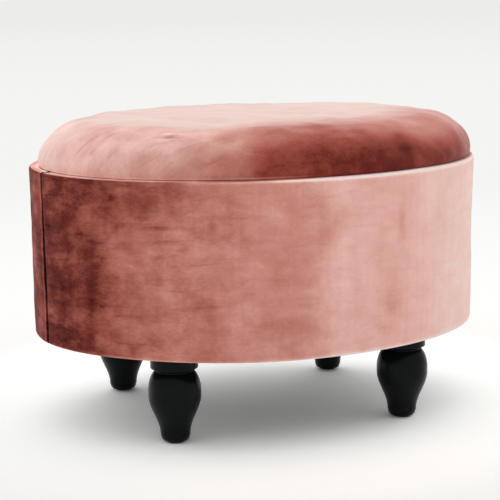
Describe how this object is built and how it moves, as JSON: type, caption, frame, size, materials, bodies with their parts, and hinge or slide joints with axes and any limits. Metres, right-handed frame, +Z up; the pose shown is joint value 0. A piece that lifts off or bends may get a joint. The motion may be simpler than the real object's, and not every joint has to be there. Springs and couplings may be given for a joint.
{
  "type": "footstool",
  "caption": "Oval upholstered footstool with a domed velvet seat, a straight velvet band with end seams, and short turned black legs.",
  "frame": {"origin": "on the floor, under the middle of the oval", "axes": "+X along the oval's long axis, -Y is the front that the picture shows, +Z up"},
  "size_m": [0.54, 0.41, 0.3578],
  "materials": {
    "leg_black": "satin",
    "glide_plastic": "matte",
    "zinc_steel": "satin",
    "yellow_zinc": "satin",
    "plywood": "matte",
    "pine": "matte",
    "hardboard": "matte",
    "seam_strip": "matte",
    "foam": "matte",
    "wadding": "matte",
    "band_velvet": "matte",
    "seat_velvet": "matte",
    "dust_cloth": "matte"
  },
  "bodies": {
    "root": {"leg_front_left": "leg_black", "leg_front_right": "leg_black", "leg_back_left": "leg_black", "leg_back_right": "leg_black", "glide_front_left": "glide_plastic", "glide_front_right": "glide_plastic", "glide_back_left": "glide_plastic", "glide_back_right": "glide_plastic", "leg_bolts": "zinc_steel", "tee_nuts": "zinc_steel", "base_board": "plywood", "deck_board": "plywood", "post_front_left": "pine", "post_front_right": "pine", "post_back_left": "pine", "post_back_right": "pine", "post_end_left": "pine", "post_end_right": "pine", "base_screws": "yellow_zinc", "deck_screws": "yellow_zinc", "wall_screws": "yellow_zinc", "front_wall": "hardboard", "back_wall": "hardboard", "seam_strip_left": "seam_strip", "seam_strip_right": "seam_strip", "front_pad": "foam", "back_pad": "foam", "front_panel": "band_velvet", "back_panel": "band_velvet", "seat_foam": "foam", "seat_wadding": "wadding", "seat_cover": "seat_velvet", "dust_cover": "dust_cloth", "dust_staples": "zinc_steel"}
  },
  "joints": []
}
